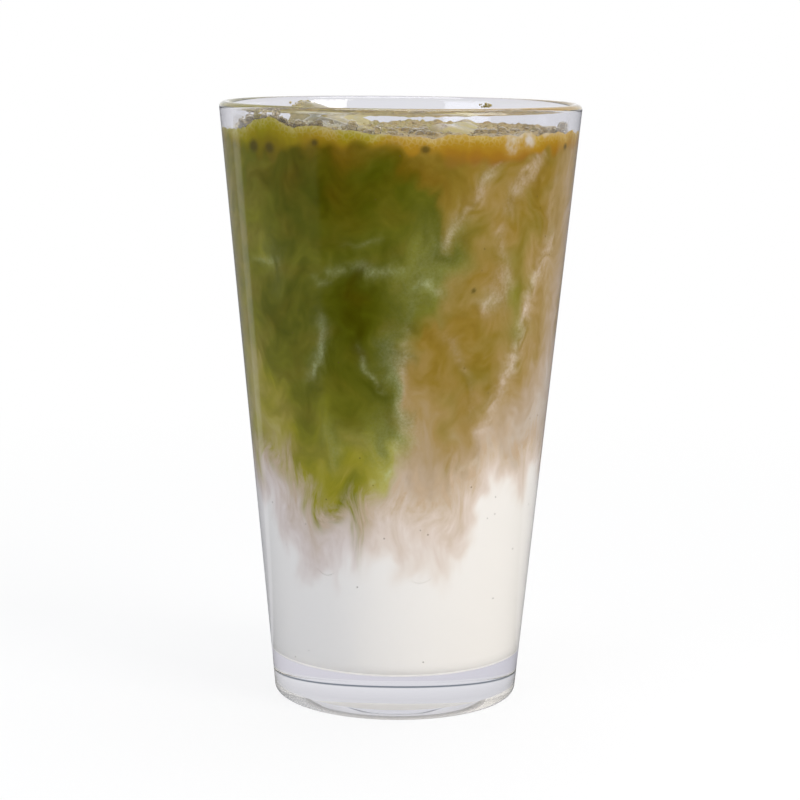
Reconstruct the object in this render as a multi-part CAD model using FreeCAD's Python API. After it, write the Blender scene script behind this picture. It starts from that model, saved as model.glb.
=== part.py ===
"""Iced latte of hojicha, matcha and milk in a tapered pint tumbler.

Millimetres, +Z up, origin on the table under the middle of the tumbler, -Y towards the drinker.
Nodes: glass, milk, matcha, hojicha, foam and the four ice cubes that break the surface.
The drink is the inside of the tumbler cut into its layers, and every layer is cut round the ice.
"""

import FreeCAD, Part

import math
import os

from FreeCAD import Vector

# Tumbler: plain pressed glass with a heavy base.
GLASS_HEIGHT = 148.4
RIM_DIAMETER = 89.0
BASE_DIAMETER = 60.8  # outside of the wall, carried on down to the table
WALL_AT_RIM = 2.8
WALL_AT_FLOOR = 3.6
FLOOR_THICKNESS = 10.6
FLOOR_CORNER_RADIUS = 3.5
HEEL_RADIUS = 1.6
FOOT_RING_WIDTH = 5.0  # the flat ring it stands on, between the heel and the recess
PUNT_DEPTH = 1.7  # shallow recess under the base
PUNT_CROWN = 0.5  # how much higher the recess is in the middle
PUNT_EDGE_WIDTH = 0.8

# Drink: levels are measured from the rim and from the inside floor.
RIM_GAP = 6.0  # from the rim down to the foam
FOAM_THICKNESS = 3.6
MILK_DEPTH = 39.0
FOAM_TOP_RIPPLE = 0.35
FOAM_FOOT_RIPPLE = 0.7
RIPPLE_LENGTH = 26.0

# Where tea sinks into the milk (minus) or milk stands up in the tea (plus), just inside the wall:
# (bearing in degrees from +X, height in mm, spread in mm).
MILK_PLUMES = (
    (190, 3.0, 9.0),
    (238, -14.0, 8.0),
    (281, -15.0, 10.0),
    (322, 14.0, 10.0),
    (8, 7.0, 9.0),
    (42, -11.0, 9.0),
    (78, 6.0, 8.0),
    (112, -12.0, 10.0),
    (150, 8.0, 9.0),
)

# Matcha was poured on the left and hojicha on the right; they meet on a leaning, wavy face.
SPLIT_OFFSET = 6.0  # towards +X at SPLIT_HEIGHT
SPLIT_HEIGHT = 100.0
SPLIT_LEAN = 0.18
SPLIT_WAVE = 3.0
SPLIT_WAVE_LENGTH = 52.0

# Ice cubes: (bearing from +X, how far the top stands above the foam, turns about X, Y and Z).
ICE_EDGE = 23.0
ICE_ROUNDING = 3.4
ICE_WALL_GAP = 0.4  # film of drink between a cube and the wall it floats against
ICE_CUBES = {
    "ice_front_left": (224, 3.2, (-12, 24, 14)),
    "ice_front_right": (316, 1.8, (0, 18, 20)),
    "ice_back_left": (132, 5.4, (12, -16, 0)),
    "ice_back_right": (50, 1.6, (-22, 26, -8)),
}

SURFACE_POINTS = 25  # each way, for the wavy faces between layers
MARGIN = 1.2  # the cutting faces reach this many times as far out and up as the tumbler


def wall_lean():
    """Angle of the outer wall from vertical: the line from the base edge that touches the lip."""
    half_lip = WALL_AT_RIM / 2
    lip_middle = RIM_DIAMETER / 2 - half_lip
    lean = 0.0
    for _ in range(8):
        top_radius = lip_middle + half_lip * math.cos(lean)
        top_height = GLASS_HEIGHT - half_lip - half_lip * math.sin(lean)
        lean = math.atan2(top_radius - BASE_DIAMETER / 2, top_height)
    return lean


LEAN = wall_lean()
FOAM_LEVEL = GLASS_HEIGHT - RIM_GAP


def outer_radius(z):
    return BASE_DIAMETER / 2 + z * math.tan(LEAN)


def inner_radius(z):
    """The wall thins evenly from the floor to the lip."""
    lip_height = GLASS_HEIGHT - WALL_AT_RIM / 2
    share = (z - FLOOR_THICKNESS) / (lip_height - FLOOR_THICKNESS)
    wall = WALL_AT_FLOOR + share * (WALL_AT_RIM - WALL_AT_FLOOR)
    return outer_radius(z) - wall / math.cos(LEAN)


def at(radius, height):
    return Vector(radius, 0, height)


def line(a, b):
    return Part.LineSegment(a, b).toShape()


def arc(a, middle, b):
    return Part.Arc(a, middle, b).toShape()


def revolved(edges):
    """A solid of revolution about Z from a closed outline in the XZ plane."""
    return Part.Face(Part.Wire(edges)).revolve(Vector(0, 0, 0), Vector(0, 0, 1), 360)


def floor_corner():
    """Points of the rounded corner between floor and wall: on the floor, on the arc, on the wall."""
    inner_lean = math.atan2(
        inner_radius(FOAM_LEVEL) - inner_radius(FLOOR_THICKNESS), FOAM_LEVEL - FLOOR_THICKNESS
    )
    radius = FLOOR_CORNER_RADIUS
    height = FLOOR_THICKNESS + radius
    middle = inner_radius(height) - radius / math.cos(inner_lean)
    turn = -math.pi / 4 - inner_lean / 2
    on_floor = at(middle, FLOOR_THICKNESS)
    on_arc = at(middle + radius * math.cos(turn), height + radius * math.sin(turn))
    on_wall = at(
        middle + radius * math.cos(inner_lean), height - radius * math.sin(inner_lean)
    )
    return on_floor, on_arc, on_wall


def lip_points():
    """Five points over the half-round lip, from the outer wall to the inner one."""
    half_lip = WALL_AT_RIM / 2
    middle = RIM_DIAMETER / 2 - half_lip
    height = GLASS_HEIGHT - half_lip
    turns = [-LEAN + math.pi * i / 4 for i in range(5)]
    return [
        at(middle + half_lip * math.cos(turn), height + half_lip * math.sin(turn))
        for turn in turns
    ]


def glass():
    """One pressed piece: recessed base, rounded heel, leaning wall, half-round lip, hollow inside."""
    heel_middle = outer_radius(HEEL_RADIUS) - HEEL_RADIUS / math.cos(LEAN)
    punt_radius = heel_middle - FOOT_RING_WIDTH
    ceiling_radius = punt_radius - PUNT_EDGE_WIDTH
    crown = (ceiling_radius**2 + PUNT_CROWN**2) / (2 * PUNT_CROWN)
    half_way = ceiling_radius / 2
    ceiling_middle = (
        PUNT_DEPTH + PUNT_CROWN - crown + math.sqrt(crown**2 - half_way**2)
    )
    punt_top = at(0, PUNT_DEPTH + PUNT_CROWN)
    punt_rim = at(ceiling_radius, PUNT_DEPTH)
    ring_inside = at(punt_radius, 0)

    heel_turn = -math.pi / 4 - LEAN / 2
    heel_start = at(heel_middle, 0)
    heel_arc = at(
        heel_middle + HEEL_RADIUS * math.cos(heel_turn),
        HEEL_RADIUS + HEEL_RADIUS * math.sin(heel_turn),
    )
    heel_end = at(
        heel_middle + HEEL_RADIUS * math.cos(LEAN), HEEL_RADIUS - HEEL_RADIUS * math.sin(LEAN)
    )

    lip_outside, lip_shoulder, lip_crest, lip_fall, lip_inside = lip_points()
    on_floor, on_arc, on_wall = floor_corner()
    floor_middle = at(0, FLOOR_THICKNESS)
    outline = [
        arc(punt_top, at(half_way, ceiling_middle), punt_rim),
        line(punt_rim, ring_inside),
        line(ring_inside, heel_start),
        arc(heel_start, heel_arc, heel_end),
        line(heel_end, lip_outside),
        arc(lip_outside, lip_shoulder, lip_crest),
        arc(lip_crest, lip_fall, lip_inside),
        line(lip_inside, on_wall),
        arc(on_wall, on_arc, on_floor),
        line(on_floor, floor_middle),
        line(floor_middle, punt_top),
    ]
    return revolved(outline)


def hollow():
    """The space inside the tumbler, up to the lip's inner edge."""
    on_floor, on_arc, on_wall = floor_corner()
    floor_middle = at(0, FLOOR_THICKNESS)
    brim = lip_points()[-1]
    brim_middle = at(0, brim.z)
    outline = [
        line(floor_middle, on_floor),
        arc(on_floor, on_arc, on_wall),
        line(on_wall, brim),
        line(brim, brim_middle),
        line(brim_middle, floor_middle),
    ]
    return revolved(outline)


def ripple(x, y, turn):
    """Gentle unevenness between -1 and 1 that repeats over RIPPLE_LENGTH."""
    step = 2 * math.pi / RIPPLE_LENGTH
    return math.sin(step * x + turn) * math.cos(step * y * 0.8 - turn)


def foam_top(x, y):
    return FOAM_LEVEL + FOAM_TOP_RIPPLE * ripple(x, y, 0.7)


def foam_foot(x, y):
    return FOAM_LEVEL - FOAM_THICKNESS + FOAM_FOOT_RIPPLE * ripple(x, y, 2.1)


def milk_top(x, y):
    """The milk's level, pulled down and pushed up by the plumes along the wall."""
    level = FLOOR_THICKNESS + MILK_DEPTH
    wall = inner_radius(level)
    for bearing, height, spread in MILK_PLUMES:
        turn = math.radians(bearing)
        away = math.hypot(x - wall * math.cos(turn), y - wall * math.sin(turn))
        level += height * math.exp(-((away / spread) ** 2))
    return level


def split_place(y, z):
    """How far towards +X the matcha reaches, at a depth y and a height z."""
    wave = SPLIT_WAVE * math.sin(2 * math.pi * (y + 0.6 * z) / SPLIT_WAVE_LENGTH)
    return SPLIT_OFFSET + SPLIT_LEAN * (z - SPLIT_HEIGHT) + wave


def spaced(low, high):
    """SURFACE_POINTS even steps from low to high."""
    return [low + (high - low) * i / (SURFACE_POINTS - 1) for i in range(SURFACE_POINTS)]


def wavy_face(place, u_values, v_values):
    """A smooth face through place(u, v) at every pair of values."""
    surface = Part.BSplineSurface()
    surface.interpolate([[place(u, v) for v in v_values] for u in u_values])
    return surface.toShape()


def below(height):
    """Everything in the tumbler under the surface z = height(x, y)."""
    reach = MARGIN * RIM_DIAMETER / 2
    across = spaced(-reach, reach)
    face = wavy_face(lambda x, y: Vector(x, y, height(x, y)), across, across)
    return face.extrude(Vector(0, 0, -2 * GLASS_HEIGHT))


def left_of_split():
    """Everything on the matcha's side of the face between the two teas."""
    reach = MARGIN * RIM_DIAMETER / 2
    across = spaced(-reach, reach)
    up = spaced(-reach, MARGIN * GLASS_HEIGHT)
    face = wavy_face(lambda y, z: Vector(split_place(y, z), y, z), across, up)
    return face.extrude(Vector(-4 * reach, 0, 0))


def ice_cube(bearing, rise, turns):
    """A rounded cube, turned about its middle, that floats at rise above the foam by the wall."""
    half = ICE_EDGE / 2
    cube = Part.makeBox(ICE_EDGE, ICE_EDGE, ICE_EDGE, Vector(-half, -half, -half))
    cube = cube.makeFillet(ICE_ROUNDING, cube.Edges)
    about_x, about_y, about_z = turns
    turned = FreeCAD.Rotation(about_z + bearing, about_y, about_x)

    # Each corner is a ball of the rounding's radius, and the wall is met by one of the eight balls.
    reach = half - ICE_ROUNDING
    signs = (-reach, reach)
    balls = [turned.multVec(Vector(x, y, z)) for x in signs for y in signs for z in signs]
    depth = FOAM_LEVEL + rise - ICE_ROUNDING - max(ball.z for ball in balls)
    heading = Vector(math.cos(math.radians(bearing)), math.sin(math.radians(bearing)), 0)
    room = (ICE_ROUNDING + ICE_WALL_GAP) / math.cos(LEAN)
    out = 0.0
    for _ in range(12):
        places = [ball + heading * out + Vector(0, 0, depth) for ball in balls]
        out += min(inner_radius(p.z) - math.hypot(p.x, p.y) - room for p in places)
    cube.Placement = FreeCAD.Placement(heading * out + Vector(0, 0, depth), turned)
    return cube


def only_solid(shape, name):
    """The one solid that a cut leaves."""
    solids = shape.Solids
    if len(solids) != 1:
        raise ValueError(f"{name} came out as {len(solids)} solids")
    return solids[0]


def ice_cubes():
    """The cubes by name; one that meets an earlier one is melted flush to it."""
    made = {}
    for name, (bearing, rise, turns) in ICE_CUBES.items():
        cube = ice_cube(bearing, rise, turns)
        for earlier in made.values():
            cube = cube.cut(earlier)
        made[name] = only_solid(cube, name)
    return made


def layers(space, ice):
    """Milk, the two teas and the foam, from the bottom up, each cut round the ice."""
    under_foam = space.common(below(foam_foot))
    foam = space.common(below(foam_top)).cut(below(foam_foot))
    milk_space = below(milk_top)
    tea = under_foam.cut(milk_space)
    matcha_side = left_of_split()
    made = {
        "milk": under_foam.common(milk_space),
        "matcha": tea.common(matcha_side),
        "hojicha": tea.cut(matcha_side),
        "foam": foam,
    }
    for name, layer in made.items():
        for cube in ice.values():
            layer = layer.cut(cube)
        made[name] = only_solid(layer, name)
    return made


def main():
    space = hollow()
    ice = ice_cubes()
    nodes = {"glass": glass(), **layers(space, ice), **ice}
    os.makedirs("parts", exist_ok=True)
    for name, shape in nodes.items():
        shape.exportStep(f"parts/{name}.step")
        print(f"{name}: {shape.Volume / 1000:.2f} cm3, valid {shape.isValid()}")


main()
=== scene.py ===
import math

import bpy
import numpy as np
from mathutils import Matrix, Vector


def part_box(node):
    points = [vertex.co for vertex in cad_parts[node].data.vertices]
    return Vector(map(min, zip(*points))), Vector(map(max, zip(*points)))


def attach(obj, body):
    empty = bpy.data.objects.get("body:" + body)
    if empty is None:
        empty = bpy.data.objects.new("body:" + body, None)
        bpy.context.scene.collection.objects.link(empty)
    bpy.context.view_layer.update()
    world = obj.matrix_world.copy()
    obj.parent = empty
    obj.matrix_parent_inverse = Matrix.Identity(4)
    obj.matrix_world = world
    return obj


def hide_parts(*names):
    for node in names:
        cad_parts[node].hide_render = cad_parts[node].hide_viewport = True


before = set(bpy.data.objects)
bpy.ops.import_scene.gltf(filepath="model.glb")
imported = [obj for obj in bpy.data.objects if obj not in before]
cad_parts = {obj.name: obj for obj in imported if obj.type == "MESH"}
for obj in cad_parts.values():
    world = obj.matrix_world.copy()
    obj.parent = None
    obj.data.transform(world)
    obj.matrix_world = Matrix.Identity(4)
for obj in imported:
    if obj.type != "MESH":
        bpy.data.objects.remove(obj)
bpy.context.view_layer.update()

# ------------------------------------------------------------------------------------------------
# Tumbler. A pressed soda-lime bar glass, heavy in the base, with a fire-polished half-round lip.
# It was pressed in one piece, so its wall is a plain cone, and the base has a shallow recess.
# Sizes here and below are in millimetres and degrees, unless a comment says otherwise.

MM = 0.001
RIM_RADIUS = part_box("glass")[1].x / MM
GLASS_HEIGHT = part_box("glass")[1].z / MM
BASE_RADIUS = 30.4
WALL_AT_RIM = 2.8
WALL_AT_FLOOR = 3.6
FLOOR = 10.6
FLOOR_CORNER = 3.5
HEEL = 1.6
FOOT_RING = 5.0
PUNT = 1.7
PUNT_CROWN = 0.5
PUNT_EDGE = 0.8
TURN_STEP = 1.25
CREASE = 35
HALF_LIP = WALL_AT_RIM / 2
LIP_R = RIM_RADIUS - HALF_LIP
LIP_Z = GLASS_HEIGHT - HALF_LIP
LEAN = math.atan2(LIP_R - BASE_RADIUS, LIP_Z) + math.asin(HALF_LIP / math.hypot(LIP_R - BASE_RADIUS, LIP_Z))


def outer_radius(z):
    """The outer cone: the base radius plus the height times the slope of the wall."""
    return BASE_RADIUS + z * math.tan(LEAN)


def inner_radius(z):
    """The inner cone: the outer radius less a wall that thins evenly from the floor to the lip."""
    share = (z - FLOOR) / (LIP_Z - FLOOR)
    return outer_radius(z) - (WALL_AT_FLOOR + share * (WALL_AT_RIM - WALL_AT_FLOOR)) / math.cos(LEAN)


CORNER_Z = FLOOR + FLOOR_CORNER
CORNER_R = float(inner_radius(CORNER_Z)) - FLOOR_CORNER / math.cos(LEAN)


def arc_points(r, z, radius, start, end, count):
    """Points on a circle about (r, z), from one angle to another in degrees."""
    turn = np.radians(np.linspace(start, end, count))
    return np.stack([r + radius * np.cos(turn), z + radius * np.sin(turn)], 1)


def run_points(a, b, count):
    """Points from a to b, packed towards both ends as the cosine is, without the ends."""
    share = (1 - np.cos(np.linspace(0, math.pi, count + 2)[1:-1])) / 2
    return np.array(a) + share[:, None] * (np.array(b) - np.array(a))


def linked(name, points, faces):
    """A piece from points in millimetres and arrays of faces with their corners in order."""
    mesh = bpy.data.meshes.new(name)
    corners = np.concatenate([f.ravel() for f in faces]).astype(np.int32)
    sizes = np.concatenate([np.full(len(f), f.shape[1]) for f in faces])
    mesh.vertices.add(len(points))
    mesh.vertices.foreach_set("co", (np.asarray(points, float) * MM).ravel())
    mesh.loops.add(len(corners))
    mesh.loops.foreach_set("vertex_index", corners)
    mesh.polygons.add(len(sizes))
    mesh.polygons.foreach_set("loop_start", (np.cumsum(sizes) - sizes).astype(np.int32))
    mesh.update(calc_edges=True)
    mesh.validate()
    mesh.shade_smooth()
    mesh.set_sharp_from_angle(angle=math.radians(CREASE))
    piece = bpy.data.objects.new(name, mesh)
    bpy.context.scene.collection.objects.link(piece)
    return piece


def rings(name, points, low_pole, high_pole):
    """A closed piece from rings of points [ring, place round it]: each ring is joined to the next
    by four-sided faces, and the first and last are closed on a pole by triangles."""
    count, around = points.shape[:2]
    here = np.arange(around)
    after = (here + 1) % around
    ring = np.arange(count - 1)[:, None] * around
    sides = np.stack([ring + here, ring + after, ring + around + after, ring + around + here], -1)
    low = count * around
    last = (count - 1) * around
    under = np.stack([after, here, np.full(around, low)], 1)
    over = np.stack([last + here, last + after, np.full(around, low + 1)], 1)
    every = np.concatenate([points.reshape(-1, 3), [low_pole, high_pole]])
    return linked(name, every, [sides.reshape(-1, 4), under, over])


def tumbler():
    """The outline turned about the axis: recess, foot ring, heel, wall, lip, inside and floor."""
    lean = math.degrees(LEAN)
    heel_r = float(outer_radius(HEEL)) - HEEL / math.cos(LEAN)
    punt_r = heel_r - FOOT_RING
    recess_r = punt_r - PUNT_EDGE
    share = np.linspace(0.08, 1, 9)
    recess = np.stack([recess_r * share, PUNT + PUNT_CROWN * (1 - share**2)], 1)
    heel = arc_points(heel_r, HEEL, HEEL, -90, -lean, 9)
    crest = arc_points(LIP_R, LIP_Z, HALF_LIP, -lean, 180 - lean, 21)
    corner = arc_points(CORNER_R, CORNER_Z, FLOOR_CORNER, -lean, -90, 11)
    profile = np.concatenate([
        recess,
        [(punt_r - 0.1, 0.12), (punt_r, 0)],
        run_points((punt_r, 0), heel[0], 3),
        heel,
        run_points(heel[-1], crest[0], 26),
        crest,
        run_points(crest[-1], corner[0], 26),
        corner,
        run_points(corner[-1], (0, FLOOR), 6)[:-1],
    ])
    turn = np.radians(np.arange(0, 360, TURN_STEP))
    r, z = profile[:, :1], profile[:, 1:]
    points = np.stack([r * np.cos(turn), r * np.sin(turn), z + 0 * turn], -1)
    return rings("tumbler", points, (0, 0, PUNT + PUNT_CROWN), (0, 0, FLOOR))


def linear(code):
    """An sRGB hex colour as the linear values that shaders use."""
    parts = [int(code[i:i + 2], 16) / 255 for i in (0, 2, 4)]
    return [p / 12.92 if p <= 0.04045 else ((p + 0.055) / 1.055) ** 2.4 for p in parts] + [1.0]


def add(tree, kind, settings, inputs):
    """Adds a shader node with its settings, and gives each input its value or its link."""
    made = tree.nodes.new("ShaderNode" + kind)
    for name, value in settings.items():
        if name == "stops":
            ends = made.color_ramp.elements
            for i, (place, code) in enumerate(value):
                stop = ends[i] if i < 2 else ends.new(place)
                stop.position = place
                stop.color = linear(code)
        else:
            setattr(made, name, value)
    for socket, value in inputs.items():
        if isinstance(value, bpy.types.NodeSocket):
            tree.links.new(value, made.inputs[socket])
        else:
            made.inputs[socket].default_value = value
    return made.outputs


def blank(name):
    """A new material with an empty node tree, and that tree."""
    material = bpy.data.materials.new(name)
    material.use_nodes = True
    material.node_tree.nodes.clear()
    return material, material.node_tree


def per(width):
    """The scale of a pattern on Object coordinates whose cells are about so many mm wide."""
    return 1 / (width * MM)


def clear_finish(material, tree, gloss):
    """Ends a clear material: light that is on its way to a lamp or comes off the drink goes
    straight through, as it nearly does in a thin wall, and what the eye sees bends and shines."""
    path = add(tree, "LightPath", {}, {})
    straight = add(tree, "Math", {"operation": "MAXIMUM"},
                   {0: path["Is Shadow Ray"], 1: path["Is Diffuse Ray"]})[0]
    through = add(tree, "BsdfTransparent", {}, {0: linear("f4f5f7")})[0]
    mixed = add(tree, "MixShader", {}, {0: straight, 1: gloss, 2: through})[0]
    add(tree, "OutputMaterial", {}, {0: mixed})
    return material


def soda_lime_glass():
    """Soda-lime glass, pressed and fire-polished: clear, with a very slight waviness from the
    mould, about 22 mm from crest to crest, that bends its reflections."""
    material, tree = blank("soda_lime_glass_fire_polished")
    place = add(tree, "TexCoord", {}, {})["Object"]
    wave = add(tree, "TexNoise", {}, {"Vector": place, "Scale": per(22.22), "Detail": 1.0})[0]
    bump = add(tree, "Bump", {}, {"Strength": 0.03, "Distance": 0.4 * MM, "Height": wave})[0]
    gloss = add(tree, "BsdfPrincipled", {}, {
        "Base Color": linear("fbfbfd"),
        "Roughness": 0.0,
        "IOR": 1.5,
        "Transmission Weight": 1.0,
        "Normal": bump,
    })[0]
    return clear_finish(material, tree, gloss)


glass = tumbler()
glass.data.materials.append(soda_lime_glass())
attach(glass, "root")
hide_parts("glass")

# ------------------------------------------------------------------------------------------------
# Ice. Clear cubes from a tray, melted round, that float against the wall and break the froth.
# They come before the teas and the froth, because both are cut round them.

ICE_EDGE = 23.0
ICE_ROUNDING = 3.4
ICE_SIDE = 40
PACKING = 0.35
MELT = 0.35
# How each cube is turned about X, Y and Z, and then by its bearing round the tumbler from +X.
ICE = {
    "ice_front_left": (-12, 24, 14, 224),
    "ice_front_right": (0, 18, 20, 316),
    "ice_back_left": (12, -16, 0, 132),
    "ice_back_right": (-22, 26, -8, 50),
}


def turned(about_x, about_y, about_z, bearing):
    """The turning of a cube: about X, then Y, then Z, by degrees."""
    x, y, z = np.radians([about_x, about_y, about_z + bearing])
    turn_x = np.array([[1, 0, 0], [0, np.cos(x), -np.sin(x)], [0, np.sin(x), np.cos(x)]])
    turn_y = np.array([[np.cos(y), 0, np.sin(y)], [0, 1, 0], [-np.sin(y), 0, np.cos(y)]])
    turn_z = np.array([[np.cos(z), -np.sin(z), 0], [np.sin(z), np.cos(z), 0], [0, 0, 1]])
    return turn_z @ turn_y @ turn_x


cubes = {}
for name, turns in ICE.items():
    low, high = (np.array(corner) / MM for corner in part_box(name))
    cubes[name] = ((low + high) / 2, turned(*turns))


def ice_cube(name):
    """A cube of six grids, packed towards the edges by a sine. Each point is pushed out from the
    core, a cube without its rounding, by the rounding and by a sine times a cosine of its place."""
    middle, turning = cubes[name]
    share = np.linspace(-1, 1, ICE_SIDE)
    share = np.sin(share * math.pi / 2) * PACKING + share * (1 - PACKING)
    u, v = np.meshgrid(share, share, indexing="ij")
    one = np.ones_like(u)
    sides = [
        (one, u, v), (-one, v, u), (v, one, u), (u, -one, v), (u, v, one), (v, u, -one),
    ]
    points = np.concatenate([np.stack(side, -1).reshape(-1, 3) for side in sides])
    flat = ICE_EDGE / 2 - ICE_ROUNDING
    core = np.clip(points * ICE_EDGE / 2, -flat, flat)
    away = points * ICE_EDGE / 2 - core
    away = away / np.maximum(np.linalg.norm(away, axis=1), 1e-9)[:, None]
    rough = np.sin(core @ [0.31, 0.17, 0.23] + len(name)) * np.cos(core @ [-0.13, 0.37, 0.29])
    points = (core + away * (ICE_ROUNDING + MELT * rough[:, None] - 0.1)) @ turning.T + middle
    step = np.arange(ICE_SIDE - 1)
    i, j = np.meshgrid(step, step, indexing="ij")
    corner = (i * ICE_SIDE + j).ravel()
    face = np.stack([corner, corner + ICE_SIDE, corner + ICE_SIDE + 1, corner + 1], 1)
    faces = np.concatenate([face + k * ICE_SIDE**2 for k in range(6)])
    piece = linked(name + "_cube", points, [faces])
    weld = piece.modifiers.new("weld", "WELD")
    weld.merge_threshold = 0.01 * MM
    return piece


# The heights between which the froth that clings to the ice thins out.
CLING_FOOT = 139.6
CLING_TOP = 141.8


def clear_ice():
    """Tray ice: clear at the skin, a little cloudy from trapped air in clouds 6 mm wide, and melted
    smooth. Froth clings to it up to a ragged line, which makes its foot tan and milky."""
    material, tree = blank("tray_ice_melting")
    place = add(tree, "TexCoord", {}, {})["Object"]
    cloudy = add(tree, "TexNoise", {}, {"Vector": place, "Scale": per(5.882), "Detail": 5.0})[0]
    height = add(tree, "SeparateXYZ", {}, {0: place})[2]
    ragged = add(tree, "Math", {"operation": "MULTIPLY_ADD"}, {0: cloudy, 1: -6 * MM, 2: height})[0]
    coated = add(tree, "MapRange", {"interpolation_type": "SMOOTHSTEP"}, {
        0: ragged, 1: CLING_FOOT * MM, 2: CLING_TOP * MM, 3: 1.0, 4: 0.0,
    })[0]
    amount = add(tree, "MapRange", {}, {0: cloudy, 1: 0.45, 2: 0.75, 3: 0.04, 4: 0.35})[0]
    amount = add(tree, "Math", {"operation": "MULTIPLY_ADD", "use_clamp": True}, {
        0: coated, 1: 0.6, 2: amount,
    })[0]
    bump = add(tree, "Bump", {}, {"Strength": 0.35, "Distance": 0.6 * MM, "Height": cloudy})[0]
    clear = add(tree, "BsdfPrincipled", {}, {
        "Base Color": linear("fafbfc"),
        "Roughness": 0.04,
        "IOR": 1.31,
        "Transmission Weight": 1.0,
        "Normal": bump,
    })[0]
    tan = add(tree, "Mix", {"data_type": "RGBA"}, {0: coated, 6: linear("e4e2dc"), 7: linear("b4a878")})[2]
    air = add(tree, "BsdfDiffuse", {}, {0: tan})[0]
    both = add(tree, "MixShader", {}, {0: amount, 1: clear, 2: air})[0]
    return clear_finish(material, tree, both)


tray_ice = clear_ice()
for name in ICE:
    cube = ice_cube(name)
    cube.data.materials.append(tray_ice)
    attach(cube, "root")
    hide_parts(name)

# ------------------------------------------------------------------------------------------------
# Milk. Cold whole milk, opaque, at the bottom of the tumbler up to where the teas sank into it.
# Its side reaches a hair into the glass, so that no air shows between them.

# How the drink mixed. Milk lies at the bottom, matcha was poured in on the left and hojicha on the
# right, and each sank in plumes that curled and drew the milk up in strands along the wall.
# Bearings are degrees round the wall from the drinker, towards the drinker's right. A cloud is a
# tile of random shapes that is as long as the wall is round, its girth, and taller than the glass.

GIRTH = 240.0
TALL = 160.0
CELL = 0.5
RING_WIDTH = 0.38
COLUMNS = int(GIRTH / CELL)
ROWS = int(TALL / CELL)


def cloud(seed, wave, upright):
    """A tile of soft random shapes with its slopes along and up: white noise of which only a ring
    of the spectrum round one wavelength in mm is kept, and drawn out upright that many times."""
    noise = np.random.default_rng(seed).standard_normal((ROWS, COLUMNS))
    up = np.fft.fftfreq(ROWS, CELL)[:, None]
    along = np.fft.fftfreq(COLUMNS, CELL)[None, :]
    count = np.hypot(along, up * upright) * wave
    spectrum = np.fft.fft2(noise) * np.exp(-(((count - 1) / RING_WIDTH) ** 2))
    slopes = [spectrum, spectrum * 1j * along * wave, spectrum * 1j * up * wave]
    tile = np.stack([np.fft.ifft2(s).real for s in slopes])
    return tile / tile[0].std()


def read(tile, s, z):
    """A tile's values at s mm round the wall and z mm up, blended from the four nearest cells."""
    u = (s / CELL) % COLUMNS
    v = (z / CELL) % ROWS
    j = np.minimum(u.astype(int), COLUMNS - 1)
    i = np.minimum(v.astype(int), ROWS - 1)
    a = u - j
    b = v - i
    j1 = (j + 1) % COLUMNS
    i1 = (i + 1) % ROWS
    low = tile[..., i, j] * (1 - a) + tile[..., i, j1] * a
    high = tile[..., i1, j] * (1 - a) + tile[..., i1, j1] * a
    return low * (1 - b) + high * b


# (seed, width of the swirls in mm, how far they carry in mm, how much taller than wide)
SWIRLS = (
    (11, 30.0, 2.4, 1.4),
    (12, 13.0, 1.7, 1.3),
    (13, 6.0, 0.9, 1.2),
    (14, 2.8, 0.4, 1.1),
)
SWIRL_STEPS = 9
swirls = [(cloud(seed, wave, upright), reach) for seed, wave, reach, upright in SWIRLS]


def unstirred(s, z, swirls):
    """Where the drink at a place came from: small steps back along the swirls, whose speed is the
    slope of a cloud turned by a quarter, so that nothing piles up."""
    for _ in range(SWIRL_STEPS):
        for tile, reach in swirls:
            _, along, up = read(tile, s, z)
            s = s - up * reach / SWIRL_STEPS
            z = z + along * reach / SWIRL_STEPS
    return s, z


# Where the first tint shows over clean milk, and where the teas' body begins: (bearing, height).
VEIL = (
    (-180, 50), (-165, 42), (-150, 36), (-138, 44), (-120, 54), (-105, 47), (-90, 52),
    (-75, 50), (-63, 46), (-52, 38), (-45, 32), (-38, 31), (-30, 33), (-22, 40), (-14, 42),
    (-6, 40), (2, 36), (12, 33), (20, 34), (28, 39), (33, 42), (37, 48), (41, 56), (46, 58),
    (52, 56), (60, 55), (70, 57), (85, 57), (98, 44), (110, 38), (122, 41), (135, 55), (150, 60),
    (165, 52),
)
BODY = (
    (-180, 62), (-160, 57), (-145, 52), (-130, 58), (-112, 68), (-95, 62),
    (-75, 60), (-58, 63), (-45, 61), (-38, 56), (-32, 52), (-26, 51), (-20, 48), (-14, 48),
    (-8, 53), (-3, 61), (4, 62), (14, 61), (24, 60), (31, 62), (36, 66), (42, 68), (50, 66),
    (58, 67), (66, 70), (76, 68), (90, 62), (105, 56), (120, 54), (134, 66), (150, 72), (166, 64),
)

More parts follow.
